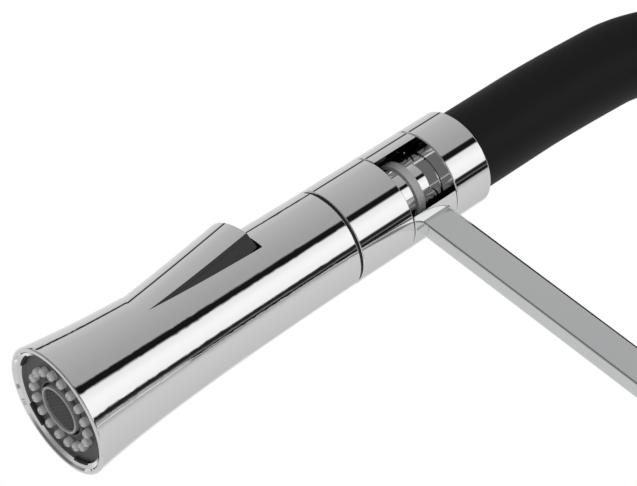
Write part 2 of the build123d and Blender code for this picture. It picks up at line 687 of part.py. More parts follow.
def body_parts():
    """Body, with its swivel bore, water channels and side boss, and the swivel pieces in it."""
    stop_z = SWIVEL_Z + SWIVEL_DEPTH / 2
    body = disc(BODY_R, FLANGE_H, BODY_TOP)
    body = fillet(body.edges().sort_by(Axis.Z)[-1], BODY_EDGE_R)
    body += CARTRIDGE * disc(BOSS_R, 0, BOSS_END)
    body -= disc(COLUMN_R + RUN_CLEAR, SWIVEL_Z, BODY_TOP + CUT_OVER)
    body -= disc(SHANK_R + SEAT_CLEAR, FLANGE_H - CUT_OVER, FLANGE_H + SHANK_GRIP)
    body -= CARTRIDGE * disc(CARTRIDGE_R + SEAT_CLEAR, SEAT_X, BOSS_END + CUT_OVER)
    inlet_mouth = FLANGE_H + SHANK_GRIP
    feed_z = CARTRIDGE_Z - CHANNEL_R
    for side in (-1, 1):
        at = Pos(0, side * INLET_SPREAD, 0)
        body -= at * disc(INLET_R, inlet_mouth - CUT_OVER, inlet_mouth + INLET_DEPTH)
        body -= at * disc(CHANNEL_R, inlet_mouth, feed_z)
        body -= rod(CHANNEL_R, (0, side * INLET_SPREAD, feed_z), SEAT_X + CUT_OVER, (1, 0, 0))
    outlet_z = CARTRIDGE_Z + 3 * CHANNEL_R
    body -= rod(CHANNEL_R, (0, 0, outlet_z), SEAT_X + CUT_OVER, (1, 0, 0))
    body -= disc(CHANNEL_R, outlet_z, SWIVEL_Z + CUT_OVER)
    body -= rod(STOP_SCREW_R + SEAT_CLEAR, (0, 0, stop_z), 2 * BODY_R, (0, 1, 0))
    trim = ring(TRIM_R, COLUMN_R + RUN_CLEAR, BODY_TOP, BODY_TOP + TRIM_T)
    stop_start = COLUMN_R - STOP_GROOVE + MOVE_GAP
    stop_end = BODY_R - STOP_SCREW_INSET
    return {
        "body": body,
        "thrust_washer": ring(COLUMN_R, FEED_R + CHANNEL_R, SWIVEL_Z, SWIVEL_Z + WASHER_T),
        "swivel_trim": soften(trim, TRIM_EDGE_R, BODY_TOP + TRIM_T),
        "stop_screw": rod(STOP_SCREW_R, (0, stop_start, stop_z), stop_end - stop_start, (0, 1, 0)),
    }


def base_parts():
    """Flange and gasket on the worktop, with the shank and fixings below it."""
    flange = disc(FLANGE_R, 0, FLANGE_H)
    flange = fillet(flange.edges().sort_by(Axis.Z)[-1], FLANGE_EDGE_R)
    flange -= disc(SHANK_R + SEAT_CLEAR, -CUT_OVER, FLANGE_H + CUT_OVER)
    gasket_in = GASKET_R - GASKET_W
    flange -= ring(GASKET_R, gasket_in, -CUT_OVER, GASKET_T)
    fixing_r = SHANK_R + SEAT_CLEAR
    rubber_low = -DECK_THICKNESS - DECK_RUBBER_T
    plate_low = rubber_low - DECK_PLATE_T
    nut_low = plate_low - NUT_H
    hexagon = RegularPolygon(NUT_ACROSS / 2, 6, major_radius=False)
    nut = extrude(Plane.XY.offset(nut_low) * hexagon, amount=NUT_H)
    corner_r = NUT_ACROSS / 2 + NUT_CORNER / tan(radians(NUT_CHAMFER_DEG))
    nut &= turned(
        (0, nut_low),
        (NUT_ACROSS / 2, nut_low),
        (corner_r, nut_low + NUT_CORNER),
        (corner_r, plate_low - NUT_CORNER),
        (NUT_ACROSS / 2, plate_low),
        (0, plate_low),
    )
    nut -= disc(fixing_r, nut_low - CUT_OVER, plate_low + CUT_OVER)
    return {
        "base_flange": flange,
        "base_gasket": ring(GASKET_R, gasket_in, 0, GASKET_T),
        "shank": ring(SHANK_R, SHANK_BORE_R, -SHANK_DROP, FLANGE_H + SHANK_GRIP),
        "deck_rubber": ring(DECK_WASHER_R, fixing_r, rubber_low, -DECK_THICKNESS),
        "deck_plate": ring(DECK_WASHER_R, fixing_r, plate_low, rubber_low),
        "lock_nut": nut,
    }


def cartridge_parts():
    """Ceramic cartridge in the side boss, along the boss's own axis."""
    floor = SEAT_X + SEAL_PLATE_T
    cavity_r = CARTRIDGE_R - CARTRIDGE_WALL
    disc_low = floor + CARTRIDGE_FLOOR
    disc_high = disc_low + DISC_T
    slide_low = disc_high + RUN_CLEAR
    slide_high = slide_low + DISC_T
    ports = [(3 * CHANNEL_R, 0), (-CHANNEL_R, INLET_SPREAD), (-CHANNEL_R, -INLET_SPREAD)]

    def ported(solid, low, high):
        for up, side in ports:
            solid -= Pos(-up, side, 0) * disc(CHANNEL_R, low - CUT_OVER, high + CUT_OVER)
        return solid

    housing = disc(CARTRIDGE_R, floor, CARTRIDGE_END) - disc(cavity_r, disc_low, CARTRIDGE_END + CUT_OVER)
    fixed = disc(cavity_r - SEAT_CLEAR, disc_low, disc_high)
    slide = Pos(DISC_OFFSET, 0, 0) * disc(SLIDE_DISC_R, slide_low, slide_high)
    tip_half = STEM_TIP_W / 2 + 2 * MOVE_GAP
    pocket_z = (STEM_TIP_X - MOVE_GAP, slide_high + CUT_OVER)
    slide -= block((-tip_half, tip_half), (-tip_half, tip_half), pocket_z)

    guide_low = slide_high + MOVE_GAP
    shoulder = CARTRIDGE_END - CARTRIDGE_WALL
    guide = disc(cavity_r - RUN_CLEAR, guide_low, shoulder) + disc(GUIDE_NECK_R, shoulder, GUIDE_END)
    swing = radians(LIFT_DEG)
    side = STEM_W / 2 + MOVE_GAP / 2
    down = (GUIDE_END - PIVOT_X) * sin(swing) + STEM_W / 2 + 2 * MOVE_GAP
    up = (PIVOT_X - guide_low) * sin(swing) + STEM_W / 2 + 2 * MOVE_GAP
    guide -= block((-up, down), (-side, side), (guide_low - CUT_OVER, GUIDE_END + CUT_OVER))
    pin_half = GUIDE_NECK_R
    guide -= rod(PIN_R + SEAT_CLEAR, (0, -pin_half, PIVOT_X), 2 * pin_half, (0, 1, 0))
    nut_low = CARTRIDGE_END + SEAT_CLEAR
    nut = ring(CARTRIDGE_R - SEAT_CLEAR, GUIDE_NECK_R + MOVE_GAP, nut_low, nut_low + NUT_RING_T)
    return {
        "cartridge_seal": CARTRIDGE * ported(disc(cavity_r, SEAT_X, floor), SEAT_X, floor),
        "cartridge_housing": CARTRIDGE * ported(housing, floor, disc_low),
        "fixed_disc": CARTRIDGE * ported(fixed, disc_low, disc_high),
        "sliding_disc": CARTRIDGE * slide,
        "stem_guide": CARTRIDGE * guide,
        "stem_pin": CARTRIDGE * rod(PIN_R, (0, -pin_half, PIVOT_X), 2 * pin_half, (0, 1, 0)),
        "cartridge_nut": CARTRIDGE * nut,
    }


def lever_parts():
    """Dome on the boss, and the lever with its hub, cut to clear the boss when lifted, and its stem."""
    ball = Pos(0, 0, PIVOT_X) * Sphere(DOME_R)
    inner = Pos(0, 0, PIVOT_X) * Sphere(DOME_R - DOME_WALL)
    dome = (ball - inner) & disc(2 * DOME_R, BOSS_END, 2 * BOSS_END)
    dome -= disc(DOME_HOLE_R, 0, 2 * BOSS_END)

    hub = disc(HUB_R, HUB_NEAR_X, HUB_END)
    hub = fillet(hub.edges().sort_by(Axis.Z)[-1], HUB_EDGE_R)
    hub -= Pos(0, 0, PIVOT_X) * Sphere(DOME_R + 2 * MOVE_GAP)
    below = block((-3 * HUB_R, 3 * HUB_R), (-2 * HUB_R, 2 * HUB_R), (0, BOSS_END + 2 * MOVE_GAP))
    hub -= Pos(0, 0, PIVOT_X) * Rot(0, -LIFT_DEG, 0) * Pos(0, 0, -PIVOT_X) * below

    half = STEM_W / 2
    tip = STEM_TIP_W / 2
    shoulder = (STEM_TIP_X + PIVOT_X) / 2 - PIN_R
    stem = block((-half, half), (-half, half), (shoulder, STEM_END))
    stem += block((-tip, tip), (-tip, tip), (STEM_TIP_X, shoulder))
    stem -= rod(PIN_R + RUN_CLEAR, (0, -STEM_W, PIVOT_X), 2 * STEM_W, (0, 1, 0))
    socket = half + SEAT_CLEAR
    hub -= block((-socket, socket), (-socket, socket), (PIVOT_X, STEM_END + SEAT_CLEAR))

    bar = LEVER_SIZE / 2
    hole = bar + SEAT_CLEAR
    lever = block((-LEVER_SOCKET_Z - LEVER_LEN, -LEVER_SOCKET_Z), (-bar, bar), (LEVER_X - bar, LEVER_X + bar))
    lever = fillet(lever.edges().filter_by(Axis.X), ARM_EDGE_R)
    lever = fillet(lever.faces().sort_by(Axis.X)[0].edges(), ARM_EDGE_R / 2)
    hub -= block((-2 * HUB_R, -LEVER_SOCKET_Z), (-hole, hole), (LEVER_X - hole, LEVER_X + hole))

    grub_start = half + 2 * SEAT_CLEAR
    grub = rod(GRUB_R, (grub_start, 0, LEVER_X), GRUB_LEN, (1, 0, 0))
    hub -= rod(GRUB_R + SEAT_CLEAR, (0, 0, LEVER_X), 2 * HUB_R, (1, 0, 0))
    cap_start = (HUB_R - INDEX_CAP_T - INDEX_CAP_INSET, 0, LEVER_X)
    hub -= rod(INDEX_CAP_R + SEAT_CLEAR, cap_start, HUB_R, (1, 0, 0))
    cap = rod(INDEX_CAP_R, cap_start, INDEX_CAP_T, (1, 0, 0))
    return {
        "dome_cover": CARTRIDGE * dome,
        "lever_hub": CARTRIDGE * hub,
        "lever_stem": CARTRIDGE * stem,
        "lever": CARTRIDGE * lever,
        "lever_grub": CARTRIDGE * grub,
        "index_cap": CARTRIDGE * cap,
    }


def all_parts():
    parts = {}
    for name, solid in {**spray_parts(), **hose_end_parts()}.items():
        parts[name] = HEAD * solid
    for group in (arm_parts, column_parts, body_parts, base_parts, cartridge_parts, lever_parts):
        parts.update(group())
    return parts


os.makedirs("parts", exist_ok=True)
for node, solid in all_parts().items():
    export_step(solid, f"parts/{node}.step")
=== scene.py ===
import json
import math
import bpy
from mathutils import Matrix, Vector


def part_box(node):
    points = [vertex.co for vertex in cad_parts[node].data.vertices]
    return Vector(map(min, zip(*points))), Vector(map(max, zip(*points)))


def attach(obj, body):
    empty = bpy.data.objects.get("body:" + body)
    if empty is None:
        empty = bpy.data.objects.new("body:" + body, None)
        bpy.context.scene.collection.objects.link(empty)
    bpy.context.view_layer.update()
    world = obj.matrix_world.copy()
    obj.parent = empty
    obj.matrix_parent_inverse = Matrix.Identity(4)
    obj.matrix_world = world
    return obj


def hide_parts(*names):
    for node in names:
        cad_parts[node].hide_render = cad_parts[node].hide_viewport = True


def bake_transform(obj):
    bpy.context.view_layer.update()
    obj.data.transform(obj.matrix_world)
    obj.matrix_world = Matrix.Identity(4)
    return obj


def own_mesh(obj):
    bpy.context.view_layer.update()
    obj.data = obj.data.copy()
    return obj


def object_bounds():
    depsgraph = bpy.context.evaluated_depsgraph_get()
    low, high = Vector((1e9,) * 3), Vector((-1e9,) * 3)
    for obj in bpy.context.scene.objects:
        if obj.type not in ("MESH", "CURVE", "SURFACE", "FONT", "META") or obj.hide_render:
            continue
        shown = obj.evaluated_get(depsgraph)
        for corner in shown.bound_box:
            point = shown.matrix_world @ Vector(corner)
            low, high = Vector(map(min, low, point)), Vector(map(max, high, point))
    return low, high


bl_info = {
    "name": "Mixer tap with a pull-out spray",
    "version": (1, 0, 0),
    "blender": (4, 5, 0),
    "location": "View3D > Sidebar > Mixer tap",
    "description": "Dresses the frame of a mixer tap: finishes, hose, arm, nozzle, spring, thread and studio",
    "category": "Object",
}

from types import SimpleNamespace

import bmesh
import bpy
from bpy.props import FloatProperty, FloatVectorProperty, IntProperty, PointerProperty
from mathutils import Matrix, Vector

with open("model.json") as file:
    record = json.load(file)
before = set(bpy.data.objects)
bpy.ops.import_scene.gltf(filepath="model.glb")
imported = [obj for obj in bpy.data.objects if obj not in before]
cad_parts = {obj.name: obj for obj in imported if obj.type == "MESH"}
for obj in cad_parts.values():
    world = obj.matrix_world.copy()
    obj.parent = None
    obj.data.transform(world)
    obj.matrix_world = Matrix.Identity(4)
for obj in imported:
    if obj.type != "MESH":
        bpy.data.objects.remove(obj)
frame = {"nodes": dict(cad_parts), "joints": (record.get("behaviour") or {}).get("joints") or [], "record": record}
CAD_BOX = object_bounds()

# Distance under which two points count as one, and the least gap or overlap of two pieces, in metres
TOUCH = 1e-6
HAIR = 0.0001

# Edges sharper than this stay sharp, and smooth pieces have none
CREASE = math.radians(35)
SMOOTH = math.pi

# The hose's route from the column's ferrule to the spray's collar, in metres
HOSE_ROUTE = (
    (0, 0, 0.40635),
    (0, 0, 0.50335),
    (0, -0.0703, 0.57305),
    (0, -0.1697, 0.57305),
    (0, -0.2365, 0.50335),
    (0, -0.240, 0.455),
    (0, -0.240, 0.430),
    (0, -0.240, 0.40635),
)

# Steps round the nozzle's turned pieces, round one jet, over a jet's end and along a slot
FACE_STEPS = 180
MAT_STEPS = 90
JET_STEPS = 24
JET_END_STEPS = 5
SLOT_STEPS = 12

# A wire of the aerator's mesh: its section's corners in wire radii, and its steps in one wave
WIRE_SECTION = ((1, 0), (0, 1), (-1, 0), (0, -1))
WIRE_STEPS = 4

# How far the lip's ring sinks into the face and into the shell, in metres
LIP_SINK = 0.0002
LIP_ROOT = 0.0003

# What the studio shows to polished metal, round the compass from +X towards +Y:
# from and to in degrees, and the brightness at each end
STUDIO_PANELS = (
    (0, 17.5, 0.385, 0.375),
    (20, 31.5, 0.008, 0.008),
    (35, 52, 0.86, 1.0),
    (60, 76.5, 1.0, 0.93),
    (79, 85.5, 0.012, 0.02),
    (88, 104, 0.19, 0.62),
    (112, 184, 0.63, 0.55),
    (189, 209, 0.67, 0.99),
    (228, 268, 0.78, 0.6),
    (270, 274, 0.01, 0.01),
    (276, 300, 0.6, 0.49),
    (323, 360, 0.45, 0.385),
)

# A dark hood over one side of the studio and a bright panel overhead, also for polished metal:
# heights of the direction between which they set in, the hood's sides in degrees, and their brightness
HOOD_EDGE = (0.68, 0.72)
HOOD_SIDES = (222, 310)
HOOD_LEVEL = 0.02
OVERHEAD_EDGE = (0.93, 0.985)
OVERHEAD_LEVEL = 0.9

# How much painted shade polished metal sees in the floor, round the compass as the studio's panels
FLOOR_SHADES = (
    (0, 96, 0, 0),
    (100, 114, 0.9, 0.9),
    (118, 146, 0, 0),
    (148, 153, 0.8, 0.8),
    (155, 258, 0, 0),
    (263, 282, 0.9, 0.7),
    (288, 360, 0, 0),
)

# Where along X the floor's painted shade, which only polished metal sees, sets in, in metres, and how much of that
# painted shade lies elsewhere
FLOOR_SIDE = (0.05, 0.25)
FLOOR_SHADE = 0.12

# Between which shares of its radius the floor fades to white
FLOOR_FADE = (0.3, 0.9)


class Wire:
    """An output socket of a shader, whose arithmetic adds Math nodes."""

    def __init__(self, board, socket):
        self.board = board
        self.socket = socket

    def out(self, name):
        return Wire(self.board, self.socket.node.outputs[name])

    def __add__(self, other):
        return self.board.math("ADD", self, other)

    def __radd__(self, other):
        return self.board.math("ADD", other, self)

    def __sub__(self, other):
        return self.board.math("SUBTRACT", self, other)

    def __rsub__(self, other):
        return self.board.math("SUBTRACT", other, self)

    def __mul__(self, other):
        return self.board.math("MULTIPLY", self, other)

    def __rmul__(self, other):
        return self.board.math("MULTIPLY", other, self)

    def __truediv__(self, other):
        return self.board.math("DIVIDE", self, other)

    def __rtruediv__(self, other):
        return self.board.math("DIVIDE", other, self)

    def __pow__(self, other):
        return self.board.math("POWER", self, other)

    def __rpow__(self, other):
        return self.board.math("POWER", other, self)

    def __gt__(self, other):
        return self.board.math("GREATER_THAN", self, other)

    def __lt__(self, other):
        return self.board.math("LESS_THAN", self, other)


class Board:
    """The node tree of a material or of the world."""

    def __init__(self, owner, output_kind="ShaderNodeOutputMaterial"):
        owner.use_nodes = True
        self.output_kind = output_kind
        self.tree = owner.node_tree
        self.tree.nodes.clear()

    def node(self, kind, settings=None, sockets=None, output=0):
        made = self.tree.nodes.new(kind)
        for name, value in (settings or {}).items():
            if name == "stops":
                self.set_stops(made.color_ramp, value)
            else:
                setattr(made, name, value)
        for key, value in (sockets or {}).items():
            if isinstance(value, Wire):
                self.tree.links.new(value.socket, made.inputs[key])
            else:
                made.inputs[key].default_value = value
        return Wire(self, made.outputs[output])

    def set_stops(self, ramp, stops):
        while len(ramp.elements) < len(stops):
            ramp.elements.new(1.0)
        for element, (position, value) in zip(ramp.elements, stops):
            element.position = position
            element.color = grey(value)

    def math(self, operation, first, second=0.0):
        return self.node("ShaderNodeMath", {"operation": operation}, {0: first, 1: second})

    def place(self):
        return self.node("ShaderNodeTexCoord", output="Object")

    def axes(self, vector):
        """The parts of a vector, as the outputs X, Y and Z."""
        return self.node("ShaderNodeSeparateXYZ", {}, {0: vector})

    def noise(self, place, scale, detail=2.0, roughness=0.5):
        return self.node(
            "ShaderNodeTexNoise",
            {},
            {"Vector": place, "Scale": scale, "Detail": detail, "Roughness": roughness},
        )

    def ease(self, value, start, end, least=0.0):
        """A smooth rise from the least to 1 while the value goes from start to end."""
        return self.node(
            "ShaderNodeMapRange",
            {"interpolation_type": "SMOOTHSTEP"},
            {"Value": value, "From Min": start, "From Max": end, "To Min": least},
        )

    def compass(self, place, panels):
        """The compass direction of a place in turns, and the panels' brightness there."""
        angle = self.math("ARCTAN2", place.out("Y"), place.out("X")) / math.tau
        turn = self.math("FRACT", angle + 1.0)
        stops = []
        for start, end, first, last in panels:
            stops += [(start / 360, first), (end / 360, last)]
        return turn, self.node("ShaderNodeValToRGB", {"stops": stops}, {"Fac": turn})

    def mix(self, factor, first, second):
        return self.node(
            "ShaderNodeMix", {"data_type": "RGBA"}, {0: factor, 6: first, 7: second}, output=2
        )

    def bump(self, height, distance, strength=1.0):
        return self.node(
            "ShaderNodeBump", {}, {"Height": height, "Distance": distance, "Strength": strength}
        )

    def surface(self, **sockets):
        """Finish with a Principled shader, whose sockets are named in small letters."""
        named = {}
        for name, value in sockets.items():
            named[name.replace("_", " ").title().replace("Ior", "IOR")] = value
        self.finish(self.node("ShaderNodeBsdfPrincipled", {}, named))

    def finish(self, shader):
        made = self.tree.nodes.new(self.output_kind)
        self.tree.links.new(shader.socket, made.inputs["Surface"])


def grey(value):
    return (value, value, value, 1.0)


def tone(colour, share=1.0):
    """A colour, or a lighter or darker share of it."""
    return (*[min(1.0, share * channel) for channel in colour], 1.0)


def new_material(name):
    material = bpy.data.materials.new(name)
    return material, Board(material)


def joint(name):
    return next(found for found in frame["joints"] if found["name"] == name)


class TapFinishes(bpy.types.PropertyGroup):
    """Colours and polish of the tap's materials"""

    chrome_colour: FloatVectorProperty(
        name="Chrome colour", description="Colour of the chrome plate",
        default=(0.92, 0.92, 0.92), subtype="COLOR", min=0, max=1,
    )
    chrome_roughness: FloatProperty(
        name="Chrome roughness", description="Roughness of the chrome where it is brightest",
        default=0.012, min=0, max=1, subtype="FACTOR",
    )
    chrome_haze: FloatProperty(
        name="Chrome haze", description="Most that the polish varies the chrome's roughness",
        default=0.03, min=0, max=1, subtype="FACTOR",
    )
    # The rocker's sides beyond this width carry a painted dark reflection in black plastic colour
    plated_width: FloatProperty(
        name="Plated width", description="Width of the plate on the rocker's top, between its bare sides",
        default=0.0252, unit="LENGTH",
    )
    shade_painted_roughness: FloatProperty(
        name="Bare roughness", description="How much rougher than the plate the rocker's bare sides are",
        default=0.4, min=0, max=1, subtype="FACTOR",
    )
    hose_colour: FloatVectorProperty(
        name="Hose colour", description="Colour of the hose's matt rubber",
        default=(0.0052, 0.0052, 0.0053), subtype="COLOR", min=0, max=1,
    )
    plastic_colour: FloatVectorProperty(
        name="Plastic colour", description="Colour of the black moulded plastic",
        default=(0.014, 0.014, 0.0145), subtype="COLOR", min=0, max=1,
    )
    face_colour: FloatVectorProperty(
        name="Nozzle face colour", description="Colour of the dark plate round the jets",
        default=(0.075, 0.075, 0.077), subtype="COLOR", min=0, max=1,
    )
    rubber_colour: FloatVectorProperty(
        name="Seal colour", description="Colour of the black seals and gaskets",
        default=(0.012, 0.012, 0.012), subtype="COLOR", min=0, max=1,
    )
    silicone_colour: FloatVectorProperty(
        name="Jet colour", description="Colour of the pale grey silicone of the jets",
        default=(0.56, 0.565, 0.57), subtype="COLOR", min=0, max=1,
    )
    ring_colour: FloatVectorProperty(
        name="Neck ring colour", description="Colour of the grey ring on the neck",
        default=(0.37, 0.37, 0.373), subtype="COLOR", min=0, max=1,
    )
    aerator_colour: FloatVectorProperty(
        name="Aerator colour", description="Colour of the satin ring round the aerator",
        default=(0.36, 0.36, 0.365), subtype="COLOR", min=0, max=1,
    )
    wire_colour: FloatVectorProperty(
        name="Wire colour", description="Colour of the aerator's woven mesh",
        default=(0.14, 0.14, 0.142), subtype="COLOR", min=0, max=1,
    )
    steel_colour: FloatVectorProperty(
        name="Steel colour", description="Colour of the plain stainless pieces",
        default=(0.56, 0.56, 0.57), subtype="COLOR", min=0, max=1,
    )
    brass_colour: FloatVectorProperty(
        name="Brass colour", description="Colour of the turned brass pieces",
        default=(0.78, 0.56, 0.25), subtype="COLOR", min=0, max=1,
    )
    ceramic_colour: FloatVectorProperty(
        name="Ceramic colour", description="Colour of the cartridge's discs",
        default=(0.82, 0.81, 0.78), subtype="COLOR", min=0, max=1,
    )
    plug_colour: FloatVectorProperty(
        name="Plug colour", description="Colour of the small plug in the lever's hub",
        default=(0.26, 0.265, 0.27), subtype="COLOR", min=0, max=1,
    )


class TapHose(bpy.types.PropertyGroup):
    """Size and fineness of the hose"""

    diameter: FloatProperty(
        name="Diameter", description="Outer diameter of the hose", default=0.027, unit="LENGTH"
    )
    rings: IntProperty(
        name="Rings", description="Rings of the tube between two points of its route", default=20, min=4
    )
    roundness: IntProperty(
        name="Roundness", description="How finely the tube's section is rounded", default=14, min=2
    )


class TapArm(bpy.types.PropertyGroup):
    """Growth and roundings of the arm's bar"""

    across: FloatProperty(
        name="Growth across", description="How much wider the finished bar is than its plain solid",
        default=0.0003, unit="LENGTH",
    )
    upright: FloatProperty(
        name="Growth upright", description="How much taller the finished bar is than its plain solid",
        default=0.0008, unit="LENGTH",
    )
    top_round: FloatProperty(
        name="Top rounding", description="Radius of the arm's two upper edges",
        default=0.0022, unit="LENGTH",
    )
    foot_round: FloatProperty(
        name="Foot rounding", description="Radius of the arm's two lower edges",
        default=0.0009, unit="LENGTH",
    )


class TapFace(bpy.types.PropertyGroup):
    """Slots, groove and collar of the nozzle's face"""

    turn: FloatProperty(
        name="Turn", description="Turn of the first jet and the first slot about the head's axis",
        default=math.radians(8.1), unit="ROTATION",
    )
    slots: IntProperty(
        name="Slots", description="Slots for the tool that unscrews the face", default=5, min=2
    )
    slot_width: FloatProperty(
        name="Slot width", description="Width of a slot along the edge of the face",
        default=0.0075, unit="LENGTH",
    )
    slot_depth: FloatProperty(
        name="Slot depth", description="Depth of a slot towards the jets", default=0.0006, unit="LENGTH"
    )
    groove_width: FloatProperty(
        name="Groove width", description="Width of the groove round the aerator",
        default=0.0008, unit="LENGTH",
    )
    groove_depth: FloatProperty(
        name="Groove depth", description="Depth of the groove round the aerator",
        default=0.0015, unit="LENGTH",
    )
    collar_width: FloatProperty(
        name="Collar width", description="Width of the low collar round the groove",
        default=0.0009, unit="LENGTH",
    )
    collar_rise: FloatProperty(
        name="Collar rise", description="How far the collar stands out of the face",
        default=0.0006, unit="LENGTH",
    )
    collar_bevel: FloatProperty(
        name="Collar bevel", description="Bevel of the collar's outer edge",
        default=0.0003, unit="LENGTH",
    )


class TapLip(bpy.types.PropertyGroup):
    """Sizes of the bright ring inside the shell's lip"""

    wall: FloatProperty(
        name="Wall", description="Thickness of the bright ring inside the shell's lip",
        default=0.0008, unit="LENGTH",
    )
    bevel_width: FloatProperty(
        name="Bevel width", description="Width of the bevel inside the shell's lip",
        default=0.001, unit="LENGTH",
    )
    bevel_depth: FloatProperty(
        name="Bevel depth", description="Depth of the bevel inside the shell's lip",
        default=0.0014, unit="LENGTH",
    )


class TapSlotShade(bpy.types.PropertyGroup):
    """Sizes of the painted slot shade: thin black sheets in the slots that stand in for their shade"""

    thickness: FloatProperty(
        name="Thickness", description="Thickness of the lining", default=0.00008, unit="LENGTH"
    )
    reach: FloatProperty(
        name="Reach", description="Share of the lip's bevel that the lining covers",
        default=0.4, min=0, max=1, subtype="FACTOR",
    )


class TapJets(bpy.types.PropertyGroup):
    """Number and sizes of the jets"""

    count: IntProperty(name="Jets", description="Jets in the ring round the aerator", default=18, min=3)
    ring: FloatProperty(
        name="Ring", description="Radius of the ring of jets", default=0.0121, unit="LENGTH"
    )
    radius: FloatProperty(
        name="Radius", description="Radius of a jet's nub", default=0.00136, unit="LENGTH"
    )
    rounding: FloatProperty(
        name="Rounding", description="Share of its radius by which a jet's end is rounded",
        default=0.7, min=0, max=1, subtype="FACTOR",
    )
    hole: FloatProperty(
        name="Hole", description="Radius of the hole in a jet", default=0.00036, unit="LENGTH"
    )


class TapMesh(bpy.types.PropertyGroup):
    """Sizes of the aerator's wire mesh"""

    pitch: FloatProperty(
        name="Pitch", description="Distance between two wires of the aerator's mesh",
        default=0.0008, unit="LENGTH",
    )
    wire_radius: FloatProperty(
        name="Wire radius", description="Radius of a wire of the aerator's mesh",
        default=0.00013, unit="LENGTH",
    )


class TapSpring(bpy.types.PropertyGroup):
    """A setting for the rocker's spring, its pressed height"""

    pressed: FloatProperty(
        name="Pressed height", description="Share of its height that the pressed spring keeps",
        default=0.3, min=0.05, max=1, subtype="FACTOR",
    )


class TapThread(bpy.types.PropertyGroup):
    """Sizes of the shank's thread"""

    pitch: FloatProperty(
        name="Pitch", description="Rise of the shank's thread in one turn", default=0.0015, unit="LENGTH"
    )
    depth: FloatProperty(
        name="Depth", description="Height of the thread's ridge", default=0.0006, unit="LENGTH"
    )
    flank: FloatProperty(
        name="Flank", description="Share of the pitch from the ridge's crest to its foot",
        default=0.46, min=0.1, max=0.5, subtype="FACTOR",
    )
    steps: IntProperty(name="Steps", description="Steps of the ridge in one turn", default=48, min=12)


class TapStage(bpy.types.PropertyGroup):
    """Camera, floor and light"""

    camera_place: FloatVectorProperty(
        name="Camera place", description="Where the camera stands",
        default=(0.498867, 0.120219, 0.020977), subtype="TRANSLATION", unit="LENGTH",
    )
    camera_target: FloatVectorProperty(
        name="Camera target", description="Point in the middle of the picture",
        default=(-0.00806, -0.24629, 0.36222), subtype="TRANSLATION", unit="LENGTH",
    )
    camera_roll: FloatProperty(
        name="Camera roll", description="Turn of the camera about its line of sight",
        default=math.radians(57.4353), unit="ROTATION",
    )
    camera_lens: FloatProperty(
        name="Camera lens", description="Focal length in millimetres on a 36 mm sensor",
        default=132.94, min=1, unit="CAMERA",
    )
    floor_colour: FloatVectorProperty(
        name="Floor colour", description="Colour of the pale floor",
        default=(0.8, 0.8, 0.8), subtype="COLOR", min=0, max=1,
    )
    floor_radius: FloatProperty(
        name="Floor radius", description="Radius of the floor", default=2.4, unit="LENGTH"
    )
    shade_level: FloatProperty(
        name="Shade level", description="Brightness of the floor where it is dark in polished metal",
        default=0.15, min=0, max=1, subtype="FACTOR",
    )
    key_place: FloatVectorProperty(
        name="Key place", description="Where the key lamp hangs",
        default=(0.7, 0.6, 1.5), subtype="TRANSLATION", unit="LENGTH",
    )
    key_target: FloatVectorProperty(
        name="Key target", description="Point that the key lamp faces",
        default=(0, -0.12, 0.2), subtype="TRANSLATION", unit="LENGTH",
    )
    key_size: FloatProperty(
        name="Key size", description="Diameter of the key lamp", default=0.9, unit="LENGTH"
    )
    key_power: FloatProperty(
        name="Key power", description="Power of the soft key lamp", default=9.0, min=0, unit="POWER"
    )
    fill_level: FloatProperty(
        name="Fill level", description="Plain light of the studio on matt surfaces",
        default=0.72, min=0, max=2, subtype="FACTOR",
    )


def polish(board, finish):
    """Roughness and normal of chrome plate: a faint haze and the slight waviness of buffed metal."""
    place = board.place()
    haze = board.noise(place, scale=55, detail=5, roughness=0.6)
    waves = board.noise(place, scale=16, detail=1)
    return finish.chrome_roughness + haze * finish.chrome_haze, board.bump(waves, distance=0.00003)


def chrome(finish):
    """Polished chrome plate."""
    material, board = new_material("chrome")
    roughness, normal = polish(board, finish)
    board.surface(
        base_color=tone(finish.chrome_colour), metallic=1.0, roughness=roughness, normal=normal
    )
    return material


def rocker_cap(finish):
    """Chrome plate on the rocker's top, and black plastic colour down its two sides as a painted dark reflection
    of chrome sides.
    """
    material, board = new_material("rocker_cap")
    roughness, normal = polish(board, finish)
    hinge = joint("rocker_press")
    spot = board.axes(board.place())
    across = (spot.out("X") - hinge["pos_m"][0]) * hinge["axis"][0]
    across = across + (spot.out("Y") - hinge["pos_m"][1]) * hinge["axis"][1]
    # Painted dark reflection: beyond the plated width the chrome sides get black plastic colour and no metal
    shade_painted = board.math("ABSOLUTE", across) > finish.plated_width / 2
    board.surface(
        base_color=board.mix(shade_painted, tone(finish.chrome_colour), tone(finish.plastic_colour)),
        metallic=1 - shade_painted,
        roughness=roughness + shade_painted * finish.shade_painted_roughness,
        normal=normal,
    )
    return material


def hose_rubber(finish):
    """Matt black rubber with a fine even grain."""
    material, board = new_material("hose_rubber")
    place = board.place()
    grain = board.noise(place, scale=1900, detail=3, roughness=0.6)
    clouds = board.noise(place, scale=45, detail=3)
    colour = board.mix(clouds, tone(finish.hose_colour, 0.8), tone(finish.hose_colour, 1.2))
    board.surface(
        base_color=colour,
        roughness=0.5 + clouds * 0.12,
        specular_ior_level=0.22,
        normal=board.bump(grain, distance=0.00006, strength=0.6),
    )
    return material


